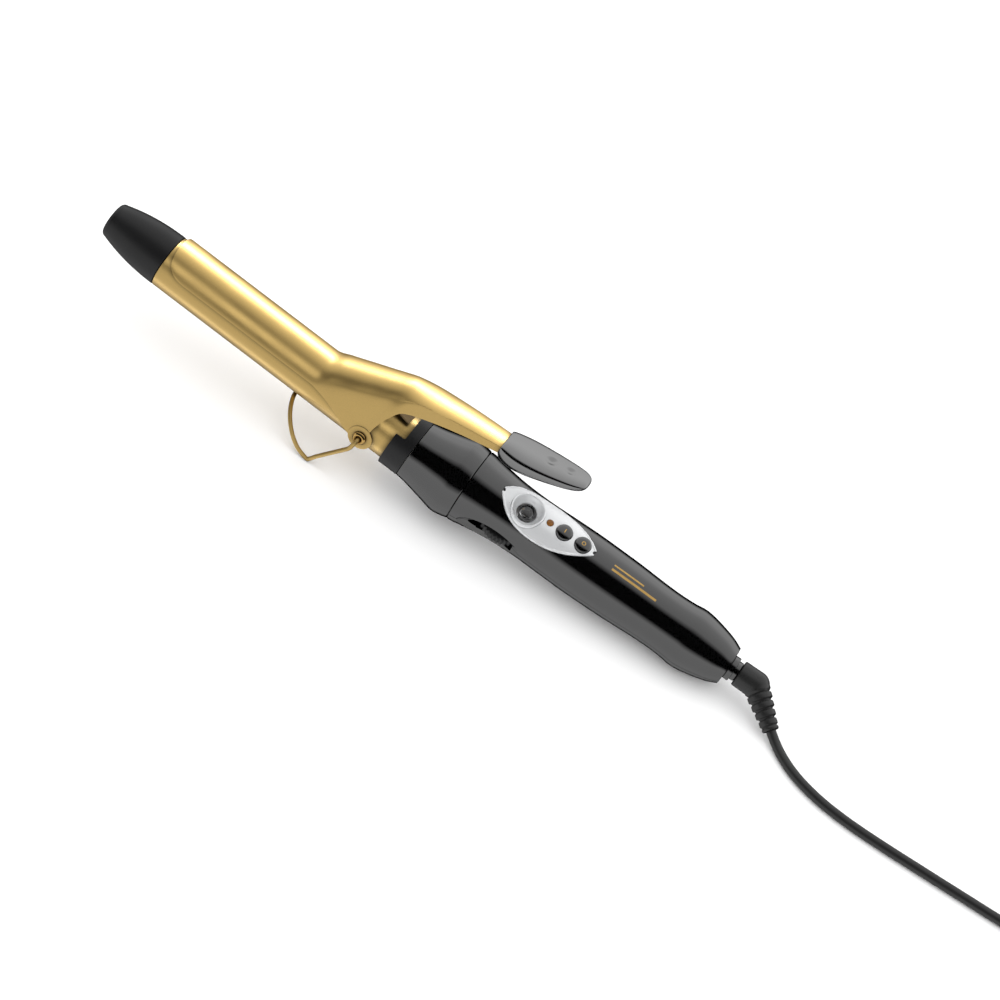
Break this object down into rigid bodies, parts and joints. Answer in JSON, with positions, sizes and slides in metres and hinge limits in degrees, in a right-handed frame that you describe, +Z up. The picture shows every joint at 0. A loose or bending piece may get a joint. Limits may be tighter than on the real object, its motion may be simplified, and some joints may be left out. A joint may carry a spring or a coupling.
{
  "type": "curling iron",
  "caption": "Curling iron with a heated gold barrel, spring clamp with a thumb lever, wire stand, black handle with dial and buttons, and a swivel cord.",
  "frame": {"origin": "centre of the iron's box, without the cord, on the surface it rests on", "axes": "+X along the iron from the cool tip to the cord, -Y towards the side with the controls, +Z up"},
  "size_m": [0.7166, 0.0621, 0.0598],
  "materials": {
    "satin_gold": "satin",
    "brass": "polished",
    "matte_black": "matte",
    "gloss_black": "gloss",
    "silver": "satin",
    "clear": "polished",
    "amber": "gloss",
    "aluminium": "matte",
    "ceramic": "matte",
    "board": "satin",
    "steel": "brushed",
    "silicone": "matte",
    "cord_rubber": "satin"
  },
  "bodies": {
    "handle": {"cool_tip": "matte_black", "barrel_tube": "satin_gold", "heater_element": "ceramic", "heat_spreader_upper": "aluminium", "heat_spreader_lower": "aluminium", "thermal_fuse": "steel", "thermistor": "ceramic", "pivot_block": "ceramic", "barrel_seat": "ceramic", "collar": "matte_black", "front_housing": "gloss_black", "pivot_rivet_near": "brass", "pivot_rivet_far": "brass", "heater_lead_near": "silicone", "heater_lead_far": "silicone", "handle_upper_shell": "gloss_black", "handle_lower_shell": "gloss_black", "handle_screw_front": "steel", "handle_screw_rear": "steel", "control_panel": "silver", "window_ring": "silver", "window_lens": "clear", "indicator_lens": "amber", "dial_potentiometer": "steel", "circuit_board": "board", "button_board": "board", "on_switch": "matte_black", "off_switch": "matte_black", "mains_lead_near": "silicone", "mains_lead_far": "silicone", "swivel_socket": "matte_black"},
    "clamp": {"clamp_plate": "satin_gold", "thumb_rest": "gloss_black", "clamp_spring": "steel", "spring_rivet": "steel"},
    "stand": {"stand_wire": "satin_gold"},
    "on_button": {"on_button": "gloss_black"},
    "off_button": {"off_button": "gloss_black"},
    "dial": {"temperature_wheel": "gloss_black"},
    "cord": {"swivel_neck": "gloss_black", "cord_boot": "cord_rubber", "power_cord": "cord_rubber", "cord_hank": "cord_rubber", "hank_tie": "matte_black", "cord_tail": "cord_rubber", "plug_body": "cord_rubber", "plug_blade_near": "brass", "plug_blade_far": "brass"}
  },
  "joints": [
    {"name": "clamp_hinge", "type": "hinge", "parent": "handle", "child": "clamp", "pos_m": [-0.03912, 0, 0.02222], "axis": [0, 1, 0], "range_deg": [0, 8], "stiffness_Nm_per_rad": 1, "springref_deg": -17.19, "deforming": ["clamp_spring"]},
    {"name": "stand_hinge", "type": "hinge", "parent": "handle", "child": "stand", "pos_m": [-0.03912, 0, 0.02222], "axis": [0, -1, 0], "range_deg": [0, 130]},
    {"name": "on_button_press", "type": "slide", "parent": "handle", "child": "on_button", "axis": [-0.052, 0.3907, -0.919], "range_m": [0, 0.0008], "stiffness_N_per_m": 400, "springref_m": -0.0008},
    {"name": "off_button_press", "type": "slide", "parent": "handle", "child": "off_button", "axis": [-0.052, 0.3907, -0.919], "range_m": [0, 0.0008], "stiffness_N_per_m": 400, "springref_m": -0.0008},
    {"name": "dial_turn", "type": "hinge", "parent": "handle", "child": "dial", "pos_m": [0.03514, -0.00223, 0.01938], "axis": [0.052, -0.3907, 0.919], "range_deg": [-135, 135]},
    {"name": "cord_swivel", "type": "hinge", "parent": "handle", "child": "cord", "pos_m": [0.1539, 0, 0.0136], "axis": [0.9984, 0, -0.0565], "continuous": true}
  ]
}
